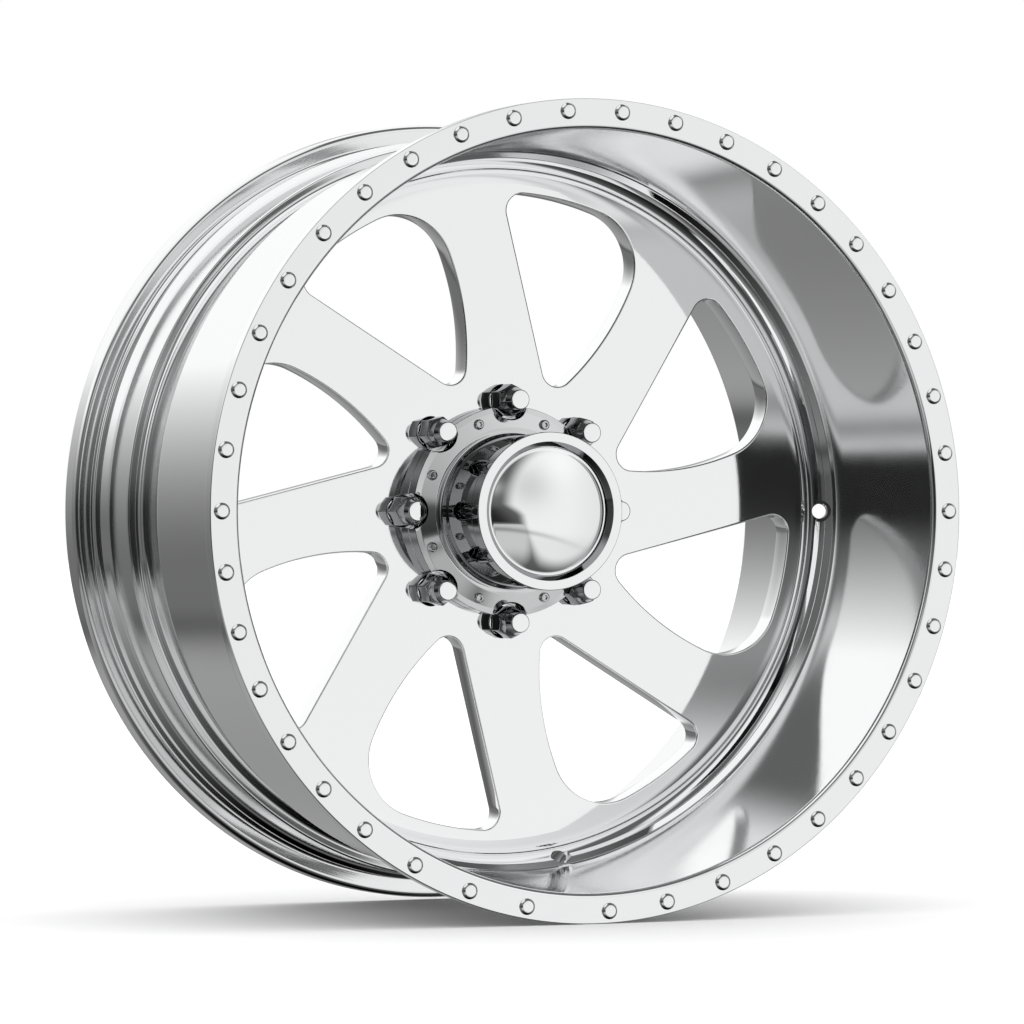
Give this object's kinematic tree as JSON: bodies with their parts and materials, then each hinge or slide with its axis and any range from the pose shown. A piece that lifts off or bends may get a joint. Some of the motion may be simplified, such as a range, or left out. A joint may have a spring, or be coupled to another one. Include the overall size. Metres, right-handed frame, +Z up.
{
  "type": "forged truck wheel rim",
  "caption": "Deep-dish two-piece forged wheel rim with swept spokes, pressed lip pins, closed lug nuts and a bolt-on domed hub cap.",
  "frame": {"origin": "centre of the overall box, on the axle midway between the pin heads on the lip and the rear flange face", "axes": "+Y along the axle towards the vehicle, so the street side faces -Y; +Z up; +X to the right seen from the street side"},
  "size_m": [0.594, 0.3088, 0.594],
  "materials": {
    "barrel": "mirror-polished aluminium, lip face finely machined",
    "disc": "mirror-polished forged aluminium",
    "pins": "polished button heads",
    "nuts": "chrome plated",
    "cap": "chrome plated"
  },
  "bodies": {
    "wheel": {"rim_barrel": "barrel", "spoke_disc": "disc", "hub_cap_body": "cap", "hub_cap_ring": "cap", "hub_cap_dome": "cap", "lip_pin_01": "pins", "lip_pin_02": "pins", "lip_pin_03": "pins", "lip_pin_04": "pins", "lip_pin_05": "pins", "lip_pin_06": "pins", "lip_pin_07": "pins", "lip_pin_08": "pins", "lip_pin_09": "pins", "lip_pin_10": "pins", "lip_pin_11": "pins", "lip_pin_12": "pins", "lip_pin_13": "pins", "lip_pin_14": "pins", "lip_pin_15": "pins", "lip_pin_16": "pins", "lip_pin_17": "pins", "lip_pin_18": "pins", "lip_pin_19": "pins", "lip_pin_20": "pins", "lip_pin_21": "pins", "lip_pin_22": "pins", "lip_pin_23": "pins", "lip_pin_24": "pins", "lip_pin_25": "pins", "lip_pin_26": "pins", "lip_pin_27": "pins", "lip_pin_28": "pins", "lip_pin_29": "pins", "lip_pin_30": "pins", "lip_pin_31": "pins", "lip_pin_32": "pins", "lip_pin_33": "pins", "lip_pin_34": "pins", "lip_pin_35": "pins", "lip_pin_36": "pins", "lip_pin_37": "pins", "lip_pin_38": "pins", "lip_pin_39": "pins", "lip_pin_40": "pins", "lip_pin_41": "pins"},
    "nut_1": {"lug_nut_1": "nuts"},
    "nut_2": {"lug_nut_2": "nuts"},
    "nut_3": {"lug_nut_3": "nuts"},
    "nut_4": {"lug_nut_4": "nuts"},
    "nut_5": {"lug_nut_5": "nuts"},
    "nut_6": {"lug_nut_6": "nuts"},
    "nut_7": {"lug_nut_7": "nuts"},
    "nut_8": {"lug_nut_8": "nuts"}
  },
  "joints": [
    {"name": "nut_1_turn", "type": "hinge", "parent": "wheel", "child": "nut_1", "pos_m": [0.08255, 0.0104, 0], "axis": [0, 1, 0], "continuous": true},
    {"name": "nut_2_turn", "type": "hinge", "parent": "wheel", "child": "nut_2", "pos_m": [0.05837, 0.0104, 0.05837], "axis": [0, 1, 0], "continuous": true},
    {"name": "nut_3_turn", "type": "hinge", "parent": "wheel", "child": "nut_3", "pos_m": [0, 0.0104, 0.08255], "axis": [0, 1, 0], "continuous": true},
    {"name": "nut_4_turn", "type": "hinge", "parent": "wheel", "child": "nut_4", "pos_m": [-0.05837, 0.0104, 0.05837], "axis": [0, 1, 0], "continuous": true},
    {"name": "nut_5_turn", "type": "hinge", "parent": "wheel", "child": "nut_5", "pos_m": [-0.08255, 0.0104, 0], "axis": [0, 1, 0], "continuous": true},
    {"name": "nut_6_turn", "type": "hinge", "parent": "wheel", "child": "nut_6", "pos_m": [-0.05837, 0.0104, -0.05837], "axis": [0, 1, 0], "continuous": true},
    {"name": "nut_7_turn", "type": "hinge", "parent": "wheel", "child": "nut_7", "pos_m": [0, 0.0104, -0.08255], "axis": [0, 1, 0], "continuous": true},
    {"name": "nut_8_turn", "type": "hinge", "parent": "wheel", "child": "nut_8", "pos_m": [0.05837, 0.0104, -0.05837], "axis": [0, 1, 0], "continuous": true}
  ]
}
